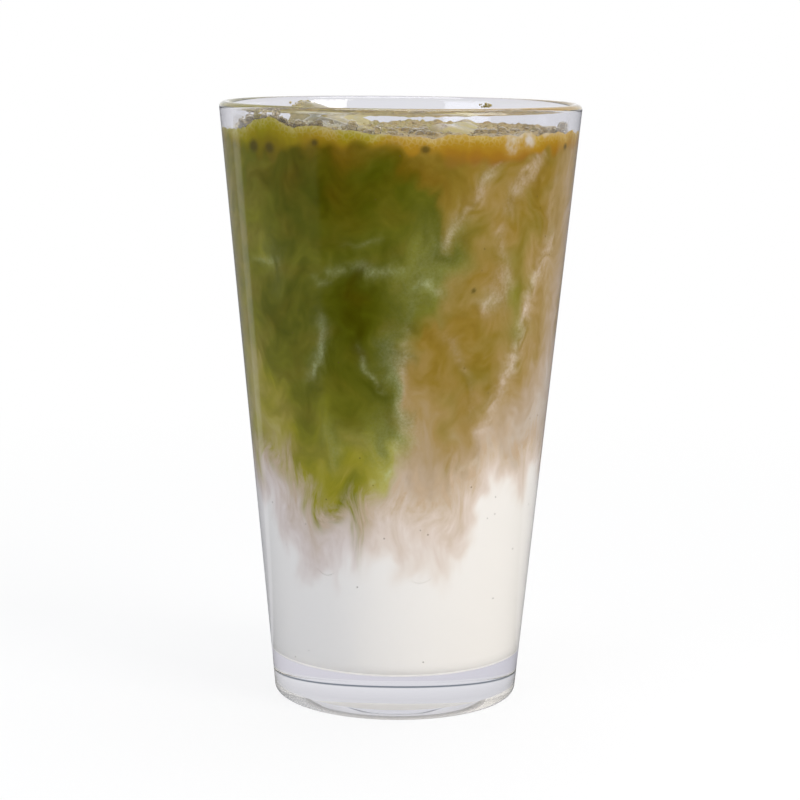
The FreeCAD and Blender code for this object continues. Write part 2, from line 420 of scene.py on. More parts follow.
# Strands of milk drawn up between the teas: (strength, half width in mm, (bearing, height), ...).
STRANDS = (
    (0.46, 2.0, (67, 119), (61, 113), (55, 106), (51, 97), (47, 90), (43, 82), (39, 75), (33, 70)),
    (0.30, 1.9, (50, 140), (47, 133), (43, 128), (38, 123)),
    (0.24, 1.7, (35, 138), (27, 129), (20, 122), (14, 117)),
    (0.14, 1.5, (34, 122), (37, 117), (40, 112), (41, 107)),
    (0.24, 1.6, (30, 101), (35, 102), (40, 105)),
    (0.30, 1.0, (6, 108), (9, 109), (12, 108), (15, 106)),
    (0.14, 1.1, (5, 105), (4, 97), (2, 89), (3, 81), (0, 73), (-2, 66)),
    (0.30, 1.3, (-28, 99), (-28, 93), (-31, 88), (-36, 84)),
    (0.12, 1.1, (-63, 110), (-54, 111), (-46, 113)),
    (0.15, 1.3, (-27, 110), (-18, 111), (-8, 110), (2, 112)),
    (0.07, 0.8, (-22, 117), (-14, 116), (-6, 118)),
    (0.18, 0.8, (-14, 93), (-10, 87), (-6, 82)),
    (0.10, 0.8, (-32, 109), (-28, 107), (-23, 108)),
    (0.30, 0.9, (22, 60), (27, 63), (33, 64), (38, 62)),
    (0.22, 1.0, (-10, 59), (-6, 62), (-3, 64)),
    (0.10, 1.8, (64, 134), (60, 124), (62, 112), (67, 100)),
    (0.10, 1.2, (14, 98), (21, 92), (27, 84), (31, 74)),
    (0.24, 1.7, (80, 120), (86, 108), (92, 96), (90, 84), (96, 74)),
    (0.20, 1.6, (118, 132), (124, 118), (132, 106), (130, 92)),
    (0.22, 1.5, (150, 112), (160, 108), (172, 110), (184, 106)),
    (0.18, 1.6, (196, 96), (204, 86), (208, 76)),
    (0.20, 1.5, (222, 118), (232, 112), (243, 114)),
    (0.18, 1.7, (256, 100), (262, 90), (268, 84)),
)

# Broad changes in the body: (bearing, height, spread round in degrees, spread up in mm, milk,
# hojicha), each added at full strength in the middle.
PATCHES = (
    (-82, 110, 16, 70, 0.26, 0.22),
    (-76, 132, 12, 13, 0.14, 0.08),
    (-60, 118, 9, 26, 0.11, 0.02),
    (-42, 92, 10, 8, 0.08, 0.00),
    (-32, 70, 11, 11, 0.11, 0.00),
    (-16, 67, 12, 11, 0.12, 0.00),
    (-8, 62, 6, 7, 0.24, -0.10),
    (14, 130, 9, 8, -0.06, -0.15),
    (14, 104, 8, 5, -0.02, -0.45),
    (14, 94, 7, 5, -0.08, 0.10),
    (4, 134, 9, 5, -0.08, -0.10),
    (34, 76, 10, 9, -0.08, 0.00),
    (56, 118, 8, 14, 0.06, 0.00),
    (80, 88, 14, 24, 0.14, 0.10),
    (-22, 58, 12, 6, 0.12, 0.00),
    (-72, 78, 13, 22, 0.14, 0.06),
    (-58, 78, 12, 14, 0.10, 0.08),
    (-58, 96, 12, 14, 0.06, 0.00),
    (-52, 64, 12, 8, 0.08, 0.25),
    (-48, 92, 9, 9, 0.04, 0.00),
    (-34, 76, 14, 8, 0.05, 0.02),
    (-16, 128, 14, 9, -0.06, 0.20),
    (-40, 134, 14, 8, 0.00, 0.20),
    (-16, 141, 16, 4, 0.00, 0.75),
    (-16, 98, 12, 13, -0.06, -0.05),
    (12, 113, 12, 8, 0.19, -0.30),
    (24, 119, 7, 6, -0.12, -0.60),
    (46, 105, 6, 9, 0.10, -0.70),
    (53, 121, 4, 7, -0.04, -0.35),
    (42, 128, 14, 10, -0.04, 0.00),
    (16, 96, 9, 6, 0.03, 0.25),
    (26, 84, 12, 9, -0.01, -0.16),
    (34, 92, 8, 10, 0.03, -0.10),
    (9, 72, 6, 13, 0.04, 0.35),
    (54, 100, 8, 16, 0.08, -0.05),
    (76, 105, 10, 60, 0.20, 0.15),
    (58, 74, 13, 10, 0.20, 0.35),
    (100, 112, 12, 16, 0.06, -0.60),
    (125, 90, 14, 18, 0.16, 0.15),
    (150, 122, 14, 14, -0.04, 0.20),
    (-150, 110, 18, 20, 0.10, 0.30),
    (-115, 90, 16, 24, 0.10, -0.10),
    (-98, 120, 14, 14, -0.04, 0.10),
)

# Where milk and tea have curdled into fine pale grains: (bearing, height, spreads, amount).
GRAINS = (
    (1, 80, 4, 15, 0.24),
    (-8, 68, 8, 8, 0.15),
    (-26, 68, 5, 4, 0.14),
    (12, 113, 12, 8, 0.10),
    (39, 106, 4, 3, 0.24),
    (32, 101, 5, 3, 0.20),
    (-52, 113, 9, 5, 0.05),
    (20, 56, 14, 6, 0.10),
    (110, 80, 14, 20, 0.12),
    (180, 70, 20, 14, 0.10),
    (230, 90, 18, 16, 0.10),
)

# The line between matcha (left) and hojicha (right) at the front and at the back: (height, bearing).
SPLIT_FRONT = (
    (40, -16), (50, -8), (56, -5), (62, -3), (70, 0), (80, 3), (92, 5), (104, 10), (112, 17),
    (119, 20), (127, 9), (134, 0), (150, -3),
)
SPLIT_BACK = ((40, 172), (60, 178), (80, 184), (100, 176), (120, 168), (150, 172))


def soft(x):
    """0 below 0, 1 above 1, and an S-shaped rise between."""
    x = np.clip(x, 0, 1)
    return x * x * (3 - 2 * x)


def turn_from(bearing, other):
    """The turn from one bearing to another, between -180 and 180 degrees."""
    return (bearing - other + 180) % 360 - 180


def rounded(places):
    """A line of points with its corners cut three times, which makes it a smooth curve."""
    places = np.array(places, float)
    for _ in range(3):
        before, after = places[:-1], places[1:]
        cut = np.stack([0.75 * before + 0.25 * after, 0.25 * before + 0.75 * after], 1)
        places = np.concatenate([places[:1], cut.reshape(-1, 2), places[-1:]])
    return places


def strand(bearing, z, width, places):
    """How much of a strand is at each place: 1 over 1 plus the square of the distance to its curve
    in widths, to the power of 1.6, times the root of a sine along it, which is less at both ends.
    Places further than five widths away are left at nothing."""
    degree = GIRTH / 360
    line = rounded(places)
    middle = (line[:, 0].min() + line[:, 0].max()) / 2
    amount = np.zeros(np.shape(bearing))
    reach = 5 * width
    x = turn_from(bearing, middle) * degree
    line = np.stack([(line[:, 0] - middle) * degree, line[:, 1]], 1)
    low, high = line.min(0) - reach, line.max(0) + reach
    close = (x > low[0]) & (x < high[0]) & (z > low[1]) & (z < high[1])
    if not close.any():
        return amount
    x, y = x[close], z[close]
    nearest = np.full(x.shape, np.inf)
    along = np.zeros(x.shape)
    for i, (a, b) in enumerate(zip(line, line[1:])):
        step = b - a
        share = np.clip(((x - a[0]) * step[0] + (y - a[1]) * step[1]) / (step @ step), 0, 1)
        away = np.hypot(x - a[0] - share * step[0], y - a[1] - share * step[1])
        along = np.where(away < nearest, (i + share) / (len(line) - 1), along)
        nearest = np.minimum(nearest, away)
    taper = np.sin(math.pi * np.clip(along * 0.94 + 0.03, 0, 1)) ** 0.5
    amount[close] = taper / (1 + (nearest / width) ** 2) ** 1.6
    return amount


def level_at(curve, bearing):
    """A closed curve's height at a bearing, straight between its points."""
    places, heights = zip(*curve)
    return np.interp(bearing, places, heights, period=360)


haze = cloud(22, 9.0, 1.2)
drift = cloud(23, 22.0, 1.5)
patchy = cloud(24, 3.4, 1.0)


def bell(bearing, z, middle, height, wide, tall):
    """1 at a place and less away from it, by its spread round and its spread up."""
    return np.exp(-((turn_from(bearing, middle) / wide) ** 2) - ((z - height) / tall) ** 2)


STRAND_CARRY = 0.35
SPLIT_SOFTNESS = 13
MILK_IN_TEA = 0.165
MORE_IN_HOJICHA = 0.115
MORE_LOW_DOWN = 0.30
LOW_DOWN = 30


def mixture(bearing, z):
    """What the drink is at a place on the wall: the milk that is stirred into the tea and the
    share of hojicha; how much cream lies there in place of tea, and how far that is tinted; and
    how much milk has curdled. The place is carried back to where its drink came from, where
    layers and patches are laid, and only a third of the way for strands, which stay sharp."""
    s, came_z = unstirred(bearing / 360 * GIRTH, z, swirls)
    came = s / GIRTH * 360
    mottle = read(patchy, s, came_z)[0]
    broad = read(haze, s, came_z)[0]
    veil = level_at(VEIL, came)
    body = level_at(BODY, came)
    tinted = soft((came_z - veil + 4) / 9)
    tint = tinted * (0.20 + 0.80 * np.clip((came_z - veil) / (body - veil), 0, 1))
    cream = 1 - soft((came_z - body + 8) / 16)

    split = np.interp(came_z, *zip(*SPLIT_FRONT))
    back = np.interp(came_z, *zip(*SPLIT_BACK))
    front_side = soft(turn_from(came, split) / SPLIT_SOFTNESS + 0.5)
    back_side = soft(turn_from(back, came) / SPLIT_SOFTNESS + 0.5)
    hojicha = np.where(np.abs(turn_from(came, 0)) < 100, front_side, back_side)

    low = np.clip((body + LOW_DOWN - came_z) / LOW_DOWN, 0, 1)
    milk = MILK_IN_TEA + MORE_IN_HOJICHA * hojicha + MORE_LOW_DOWN * low ** 1.5
    for middle, height, wide, tall, more_milk, more_hojicha in PATCHES:
        there = bell(came, came_z, middle, height, wide, tall)
        milk = milk + more_milk * there
        hojicha = hojicha + more_hojicha * there
    milk = milk + 0.03 * read(drift, s, came_z)[0] + 0.02 * broad + 0.01 * mottle
    hojicha = hojicha + 0.07 * read(haze, z + 40, s)[0]

    near = bearing + STRAND_CARRY * turn_from(came, bearing)
    near_z = z + STRAND_CARRY * (came_z - z)
    curd = np.zeros(np.shape(z))
    for middle, height, wide, tall, amount in GRAINS:
        curd = curd + amount * bell(came, came_z, middle, height, wide, tall)
    ragged = np.clip(0.9 + 0.25 * mottle + 0.25 * broad, 0.2, 1.8)
    for strength, width, *places in STRANDS:
        curd = curd + strength * ragged * strand(near, near_z, width, places)
    return [np.clip(share, 0, 1) for share in (milk, hojicha, cream, tint, curd)]


MILK_LEVEL = FLOOR + 39.0
MILK_REACH = 0.080
WALL_RINGS = 84
STEP_ROUND = 0.75
# Where milk has risen or sunk at the wall: (bearing from +X, rise in mm, spread in mm).
MILK_PLUMES = (
    (190, 3.0, 9.0),
    (238, -14.0, 8.0),
    (281, -15.0, 10.0),
    (322, 14.0, 10.0),
    (8, 7.0, 9.0),
    (42, -11.0, 9.0),
    (78, 6.0, 8.0),
    (112, -12.0, 10.0),
    (150, 8.0, 9.0),
)


def milk_top(x, y):
    """The milk's level, less or more by a bell-shaped plume at each of some places by the wall."""
    level = MILK_LEVEL + 0 * x
    wall = float(inner_radius(MILK_LEVEL))
    for bearing, height, spread in MILK_PLUMES:
        turn = math.radians(bearing)
        away = np.hypot(x - wall * math.cos(turn), y - wall * math.sin(turn))
        level = level + height * np.exp(-((away / spread) ** 2))
    return level


def wall_radius(z, reach):
    """The inside of the tumbler and its rounded corner, and reach mm further into the glass."""
    drop = np.clip(CORNER_Z - z, 0, FLOOR_CORNER)
    corner = CORNER_R + np.sqrt(FLOOR_CORNER**2 - drop**2)
    return np.where(drop > FLOOR_CORNER * math.sin(LEAN), corner, inner_radius(z)) + reach


FROTH_LEVEL = 141.9
RIPPLE = 26.0
EDGE_WIDTH = 1.5
# Where froth has climbed the wall: (bearing, rise in mm, spread round in degrees, spread inwards).
LUMPS = (
    (-47, 3.4, 8.0, 3.5),
    (-58, 1.2, 6.0, 3.0),
    (-25, 1.7, 12.0, 4.0),
    (66, 0.5, 9.0, 3.0),
    (-108, 1.0, 9.0, 3.5),
)
ripples = cloud(31, 7.0, 1.0)
dimples = cloud(32, 2.2, 1.0)
collar = cloud(33, 7.0, 1.0)


def froth_top(x, y):
    """The top of the froth: its level, a broad ripple with a slight fall to the back, fine dimples,
    a ragged rise at the wall that falls off over a millimetre and a half, and bell-shaped lumps
    that have climbed higher."""
    step = 2 * math.pi / RIPPLE
    broad = 0.25 * np.sin(step * x + 0.7) * np.cos(step * y * 0.8 - 0.7) - 0.008 * (y + 10)
    away = np.maximum(float(inner_radius(FROTH_LEVEL)) - np.hypot(x, y), 0)
    bearing = np.degrees(np.arctan2(x, -y))
    climb = np.clip(0.1 + 0.3 * read(collar, bearing / 360 * GIRTH, 0 * x)[0], -0.3, 0.5)
    fine = 0.30 * read(ripples, x + 80, y + 80)[0] + 0.22 * read(dimples, x + 80, y + 80)[0]
    edge = np.exp(-away / EDGE_WIDTH)
    level = FROTH_LEVEL + broad + climb * edge + fine * (1 - 0.6 * edge)
    for middle, rise, wide, deep in LUMPS:
        level = level + rise * bell(bearing, away, middle, 0, wide, deep)
    return level


# The ragged foot of the froth at the wall, and spots there: ice that shows pale through a film of
# froth as (bearing, height, spreads round and up, strength), and air pockets, which are painted
# dark as the shade in them, with one dark speck of tea at 106 mm, as (bearing, height, radius
# in mm).
FROTH_FOOT = (
    (-180, 138.2), (-150, 137.6), (-120, 138.6), (-90, 138.2), (-72, 138.4), (-62, 137.4),
    (-56, 136.2), (-48, 135.2), (-40, 136.0), (-34, 138.8), (-20, 138.8), (-8, 138.2),
    (4, 137.6), (12, 136.2), (20, 134.4), (32, 134.2), (40, 135.2), (50, 136.6), (62, 136.8),
    (75, 137.4), (110, 138.8), (150, 137.4),
)
ICE_SHOWS = (
    (39.0, 141.0, 6.0, 5.0, 0.60),
    (45.5, 141.6, 5.0, 4.0, 0.56),
    (52, 143.0, 24.0, 2.4, 0.46),
    (-51, 146.2, 8.0, 1.0, 0.4),
    (150, 139.5, 9.0, 3.0, 0.45),
    (-142, 139.0, 9.0, 3.0, 0.45),
)
# Painted shade: the pockets below are darkened in the drink's colour; the first is a speck of tea.
SHADED_POCKETS_AND_SPECK = (
    (27, 106, 0.7), (-54.5, 138.8, 1.9), (-46.5, 138.6, 1.7), (-28, 140.3, 0.9), (8, 139.2, 1.2),
    (67, 139.0, 1.0),
    (118, 140.0, 0.9), (-160, 139.4, 1.0), (-121, 139.0, 1.4),
)
froth_edge = cloud(41, 5.0, 1.0)
THICKENS = 2.6


def froth_share(bearing, z):
    """How much froth hides the tea at the wall: none below its ragged foot, and all of it from
    where the froth has thickened."""
    s = bearing / 360 * GIRTH
    foot = level_at(FROTH_FOOT, bearing) + 0.6 * read(froth_edge, s, 0 * s + 30)[0]
    return soft((z - foot + 0.5 * read(froth_edge, s, z)[0]) / THICKENS)


def froth_spots(bearing, z):
    """How much ice shows through the froth at the wall, and how much painted shade darkens the air
    pockets there and the speck of tea: each is an ellipse with a flat middle and a soft edge, and the
    ice's is bent a little."""
    s = bearing / 360 * GIRTH
    bend = 0.08 * read(haze, s + 30, z)[0]
    pale = np.zeros(np.shape(z))
    for middle, height, wide, tall, strength in ICE_SHOWS:
        away = np.hypot(turn_from(bearing, middle) / wide, (z - height) / tall) + bend
        pale = np.maximum(pale, strength * (1 - soft(away - 0.2)))
    dark = np.zeros(np.shape(z))
    for middle, height, radius in SHADED_POCKETS_AND_SPECK:
        away = np.hypot(turn_from(bearing, middle) * GIRTH / 360, (z - height) * 1.1)
        dark = np.maximum(dark, 1 - soft((away / radius - 0.35) / 0.9))
    return np.clip(pale, 0, 1), dark


def wall_places(radius, turn):
    """Points at a radius and at bearings from the front in radians, without their height."""
    return radius * np.sin(turn), -radius * np.cos(turn)


SKIN = 0.5
SKIN_FADE = 9.0
MILK_INSIDE = 0.3


def tint(piece):
    """Stores what the drink is at every point: "tea" is milk, hojicha, froth and curd; "cream" is
    cream, its tint, ice that shows, and painted shade in air pockets with a speck of tea; "came" is
    the place that its drink came from by the two widest swirls, in mm, and "below" is how far it lies
    under the froth's top, in mm. Under the skin at the wall, the tea fades to an even one that turns
    from left to right."""
    points = np.empty(len(piece.data.vertices) * 3)
    piece.data.vertices.foreach_get("co", points)
    points = points.reshape(-1, 3) / MM
    bearing = np.degrees(np.arctan2(points[:, 0], -points[:, 1]))
    z = points[:, 2]
    milk, hojicha, cream, tinted, curd = mixture(bearing, z)
    inside = soft((inner_radius(z) - np.hypot(points[:, 0], points[:, 1]) - SKIN) / SKIN_FADE)
    across = 0.5 + points[:, 0] / 50 + 0.35 * read(haze, points[:, 0] + 60, points[:, 1] + 60)[0]
    hojicha = hojicha + inside * (np.clip(across, 0, 1) - hojicha)
    milk, curd = milk + inside * (MILK_INSIDE - milk), curd * (1 - inside)
    pale, dark = froth_spots(bearing, z)
    s, came_z = unstirred(bearing / 360 * GIRTH, z, swirls[:2])
    around = GIRTH / (2 * math.pi)
    x, y = wall_places(around, s / around)
    edge_x, edge_y = wall_places(float(inner_radius(FROTH_LEVEL)), np.radians(bearing))
    every = {
        "tea": ("FLOAT_COLOR", "color", [milk, hojicha, froth_share(bearing, z), curd]),
        "cream": ("FLOAT_COLOR", "color", [cream, tinted, pale, dark]),
        "came": ("FLOAT_VECTOR", "vector", [x, y, came_z]),
        "below": ("FLOAT", "value", [froth_top(edge_x, edge_y) - z]),
    }
    for name, (kind, field, values) in every.items():
        stored = piece.data.attributes.new(name, kind, "POINT").data
        stored.foreach_set(field, np.stack(values, 1).ravel())


def drink_colour(tree):
    """The colour of the drink at the wall, in layers that each cover the ones before by a share:
    matcha and hojicha, read from dark to light by their milk; cream, whose edge is sharpened by
    streaks that follow the swirls; curd, in grains of 0.7 mm; specks of leaf, 5 mm apart; froth,
    browner towards its foot, with bubbles of 1.2 mm near its top; ice, uneven over 2 mm; and painted
    shade in air pockets, which also marks one speck of tea."""
    stored = ("tea", "cream", "came", "below")
    tea, under, came, below = (add(tree, "Attribute", {"attribute_name": n}, {}) for n in stored)
    shares = add(tree, "SeparateColor", {}, {0: tea["Color"]})
    cream = add(tree, "SeparateColor", {}, {0: under["Color"]})
    place = add(tree, "TexCoord", {}, {})["Object"]
    drawn = add(tree, "Mapping", {}, {"Vector": came["Vector"], "Scale": (1.0, 1.0, 0.38)})[0]
    streak = add(tree, "TexNoise", {}, {
        "Vector": came["Vector"], "Scale": 1 / 3.333, "Detail": 6.0, "Roughness": 0.58,
        "Distortion": 0.3,
    })[0]
    fall = add(tree, "TexNoise", {}, {
        "Vector": drawn, "Scale": 1 / 2.174, "Detail": 7.0, "Roughness": 0.66, "Distortion": 0.15,
    })[0]

    milk = add(tree, "Math", {"operation": "MULTIPLY_ADD"}, {0: streak, 1: 0.16, 2: -0.08})[0]
    milk = add(tree, "Math", {"operation": "ADD"}, {0: milk, 1: shares[0]})[0]
    matcha = add(tree, "ValToRGB", {"stops": (
        (0.0, "413f00"), (1.0, "cfc7a8"), (0.10, "4d4e06"), (0.20, "5b5b12"), (0.30, "6a691b"),
        (0.40, "7b7820"), (0.50, "8f8826"), (0.62, "a1983a"), (0.80, "b8ae62"),
    )}, {0: milk})[0]
    hojicha = add(tree, "ValToRGB", {"stops": (
        (0.0, "5c4604"), (1.0, "dcd4ce"), (0.12, "725710"), (0.26, "8a7028"), (0.42, "9f8551"),
        (0.60, "b29d82"), (0.80, "c4b8aa"),
    )}, {0: milk})[0]

    rest = add(tree, "Math", {"operation": "SUBTRACT"}, {0: 1.0, 1: cream[0]})[0]
    edge = add(tree, "Math", {"operation": "MULTIPLY"}, {0: cream[0], 1: rest})[0]
    fell = add(tree, "Math", {"operation": "MULTIPLY_ADD"}, {0: fall, 1: 13.0, 2: -6.5})[0]
    creamy = add(tree, "Math", {"operation": "MULTIPLY_ADD", "use_clamp": True}, {
        0: fell, 1: edge, 2: cream[0],
    })[0]
    veil = add(tree, "Math", {"operation": "MULTIPLY_ADD"}, {0: fall, 1: 1.6, 2: -0.8})[0]
    veil = add(tree, "Math", {"operation": "MULTIPLY_ADD"}, {0: veil, 1: cream[1], 2: cream[1]})[0]
    rosy = add(tree, "ValToRGB", {"stops": (
        (0.0, "ebe7e0"), (1.0, "bfab94"), (0.25, "e1d8d0"), (0.50, "d6c9c0"), (0.80, "c9b9aa"),
    )}, {0: veil})[0]
    peachy = add(tree, "ValToRGB", {"stops": (
        (0.0, "ede8df"), (1.0, "bf9f72"), (0.25, "e7dccb"), (0.50, "decbb4"), (0.80, "cdb591"),
    )}, {0: veil})[0]
    warm = add(tree, "Math", {"operation": "MULTIPLY"}, {0: shares[1], 1: 0.4})[0]
    tinted = add(tree, "Mix", {"data_type": "RGBA"}, {0: warm, 6: rosy, 7: peachy})[2]

    speck = add(tree, "TexNoise", {}, {
        "Vector": place, "Scale": per(0.6667), "Detail": 3.0, "Roughness": 0.65,
    })[0]
    grains = add(tree, "MapRange", {}, {0: speck, 1: 0.36, 2: 0.66, 3: 0.68, 4: 1.35})[0]
    curd = add(tree, "Math", {"operation": "MULTIPLY", "use_clamp": True}, {
        0: tea["Alpha"], 1: grains,
    })[0]
    curdled = add(tree, "Mix", {"data_type": "RGBA"}, {
        0: shares[1], 6: linear("bcc294"), 7: linear("d2c0b0"),
    })[2]
    leaf = add(tree, "TexVoronoi", {}, {"Vector": place, "Scale": per(4.762)})[0]
    leaf = add(tree, "MapRange", {}, {0: leaf, 1: 0.02, 2: 0.055, 3: 0.75, 4: 0.0})[0]

    depth = add(tree, "Math", {"operation": "MULTIPLY_ADD"}, {0: streak, 1: 3.0, 2: below["Fac"]})[0]
    depth = add(tree, "Math", {"operation": "MULTIPLY_ADD"}, {0: depth, 1: 0.1, 2: -0.15})[0]
    green = add(tree, "ValToRGB", {"stops": (
        (0.0, "a89e52"), (1.0, "645a10"), (0.07, "a09432"), (0.20, "938713"), (0.5, "7a6e0c"),
    )}, {0: depth})[0]
    amber = add(tree, "ValToRGB", {"stops": (
        (0.0, "b6995e"), (1.0, "866434"), (0.07, "b0903e"), (0.20, "a47e22"), (0.42, "966c1e"),
        (0.65, "8a6026"),
    )}, {0: depth})[0]
    froth = add(tree, "Mix", {"data_type": "RGBA"}, {0: shares[1], 6: green, 7: amber})[2]
    cells = add(tree, "TexVoronoi", {"feature": "DISTANCE_TO_EDGE"}, {
        "Vector": place, "Scale": per(1.1765),
    })[0]
    film = add(tree, "MapRange", {}, {0: cells, 1: 0.0, 2: 0.20, 3: 0.26, 4: 0.0})[0]
    near_top = add(tree, "MapRange", {}, {0: depth, 1: 0.0, 2: 0.28, 3: 1.0, 4: 0.0})[0]
    film = add(tree, "Math", {"operation": "MULTIPLY"}, {0: film, 1: near_top})[0]
    froth = add(tree, "Mix", {"data_type": "RGBA"}, {0: film, 6: froth, 7: linear("d8cfa4")})[2]

    uneven = add(tree, "TexNoise", {}, {"Vector": place, "Scale": per(2.381), "Detail": 3.0})[0]
    uneven = add(tree, "MapRange", {}, {0: uneven, 1: 0.35, 2: 0.65, 3: 0.55, 4: 1.15})[0]
    ice = add(tree, "Math", {"operation": "MULTIPLY"}, {0: cream[2], 1: uneven})[0]
    iced = add(tree, "ValToRGB", {"stops": (
        (0.0, "a87c24"), (1.0, "dcd8d2"), (0.25, "b09048"), (0.45, "bcac90"), (0.70, "c6beb6"),
    )}, {0: ice})[0]
    shown = add(tree, "Math", {"operation": "MULTIPLY", "use_clamp": True}, {0: ice, 1: 1.5})[0]
    # Painted shade: the air pockets are darkened, as no light reaches into them; the same mark makes one
    # speck of tea dark.
    pocket_shade = add(tree, "Math", {"operation": "MULTIPLY"}, {0: under["Alpha"], 1: 0.8})[0]

    drink = matcha
    for share, cover in (
        (shares[1], hojicha),
        (creamy, tinted),
        (curd, curdled),
        (leaf, linear("5a4a2c")),
        (shares[2], froth),
        (shown, iced),
        (pocket_shade, linear("4c421c")),
    ):
        drink = add(tree, "Mix", {"data_type": "RGBA"}, {0: share, 6: drink, 7: cover})[2]
    return drink


def drink_finish(name):
    """Milk tea, opaque and pressed against the glass, so without a gloss of its own."""
    material, tree = blank(name)
    shader = add(tree, "BsdfPrincipled", {}, {
        "Base Color": drink_colour(tree),
        "Roughness": 0.5,
        "IOR": 1.34,
        "Specular IOR Level": 0.0,
    })[0]
    add(tree, "OutputMaterial", {}, {0: shader})
    return material


def milk():
    """Rings from the middle of the floor out, up the rounded corner and the wall to the teas, and
    back to the middle of the top."""
    turn = np.radians(np.arange(0, 360, STEP_ROUND))
    floor = FLOOR - MILK_REACH
    corner = FLOOR_CORNER + MILK_REACH
    rows = []
    for share in np.linspace(0.1, 1, 7):
        x, y = wall_places(CORNER_R * share, turn)
        rows.append(np.stack([x, y, floor + 0 * turn], 1))
    for angle in np.radians(np.linspace(-80, -6, 9)):
        x, y = wall_places(CORNER_R + corner * math.cos(angle), turn)
        rows.append(np.stack([x, y, CORNER_Z + corner * math.sin(angle) + 0 * turn], 1))
    x, y = wall_places(wall_radius(MILK_LEVEL, 0), turn)
    top = milk_top(x, y)
    for share in np.linspace(0, 1, WALL_RINGS):
        z = CORNER_Z + share * (top - CORNER_Z)
        x, y = wall_places(wall_radius(z, MILK_REACH), turn)
        rows.append(np.stack([x, y, z], 1))
    for share in np.linspace(0.97, 0.04, 14):
        x, y = wall_places(wall_radius(top, MILK_REACH) * share, turn)
        rows.append(np.stack([x, y, milk_top(x, y)], 1))
    points = np.array(rows)
    centre = np.zeros(1)
    piece = rings("milk_layer", points, (0, 0, floor), (0, 0, float(milk_top(centre, centre)[0])))
    tint(piece)
    return piece


def upward(piece):
    """How far each face of a piece points up: the height of its normal, from -1 to 1."""
    normals = np.empty(len(piece.data.polygons) * 3)
    piece.data.polygons.foreach_get("normal", normals)
    return normals[2::3]


def milk_underside_painted_glow():
    """The foot of the milk, with a painted glow: a weak emission stands in for the light that the
    milk scatters down to it.
    """
    material, tree = blank("whole_milk_underside_painted_glow")
    shader = add(tree, "BsdfPrincipled", {}, {
        "Base Color": linear("ebe7e0"), "Roughness": 0.5, "Emission Color": linear("efebe4"),
        "Emission Strength": 0.28,
    })[0]
    add(tree, "OutputMaterial", {}, {0: shader})
    return material


white = milk()
# Faces that look down get the second material, the painted glow of the milk's foot.
white.data.polygons.foreach_set("material_index", (upward(white) < -0.8).astype(np.int32))
white.data.materials.append(drink_finish("whole_milk_with_tea"))
white.data.materials.append(milk_underside_painted_glow())
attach(white, "root")
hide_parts("milk")

# ------------------------------------------------------------------------------------------------
# Matcha and hojicha. Two cold teas, opaque with milk, poured side by side over the ice. They meet
# on a leaning face through the drink and fill the tumbler from the milk up to the froth.

FROTH_DEPTH = 3.6
FOOT_RIPPLE = 0.7
ICE_REACH = 0.15
TEA_RINGS = 176
CHORD_POINTS = 40
LAP = 0.2
SPILL = 0.4
SPLIT_OFFSET = 6.0
SPLIT_HEIGHT = 100.0
SPLIT_LEAN = 0.18
# The heights at the milk and at the froth that a ring of tea is first guessed from.
FIRST_LOW = 60
FIRST_HIGH = 138


def froth_foot(x, y):
    """The underside of the froth: its depth below the level, with a ripple."""
    step = 2 * math.pi / RIPPLE
    ripple = FOOT_RIPPLE * np.sin(step * x + 2.1) * np.cos(step * y * 0.8 - 2.1)
    return FROTH_LEVEL - FROTH_DEPTH + ripple


def in_ice(points, name):
    """The signed distance in mm from a cube's rounded surface, negative inside the ice."""
    middle, turning = cubes[name]
    local = np.abs((points - middle) @ turning) - (ICE_EDGE / 2 - ICE_ROUNDING)
    outside = np.linalg.norm(np.maximum(local, 0), axis=-1)
    return outside + np.minimum(local.max(-1), 0) - ICE_ROUNDING


def round_ice(points, along):
    """Moves points that lie inside a cube of ice back along a direction until they are out."""
    for name in cubes:
        depth = in_ice(points, name) + ICE_REACH
        for _ in range(40):
            inside = depth < -0.01
            if not inside.any():
                break
            points[inside] += along[inside] * np.maximum(-depth[inside], 0.03)[:, None]
            depth[inside] = in_ice(points[inside], name) + ICE_REACH
    return points


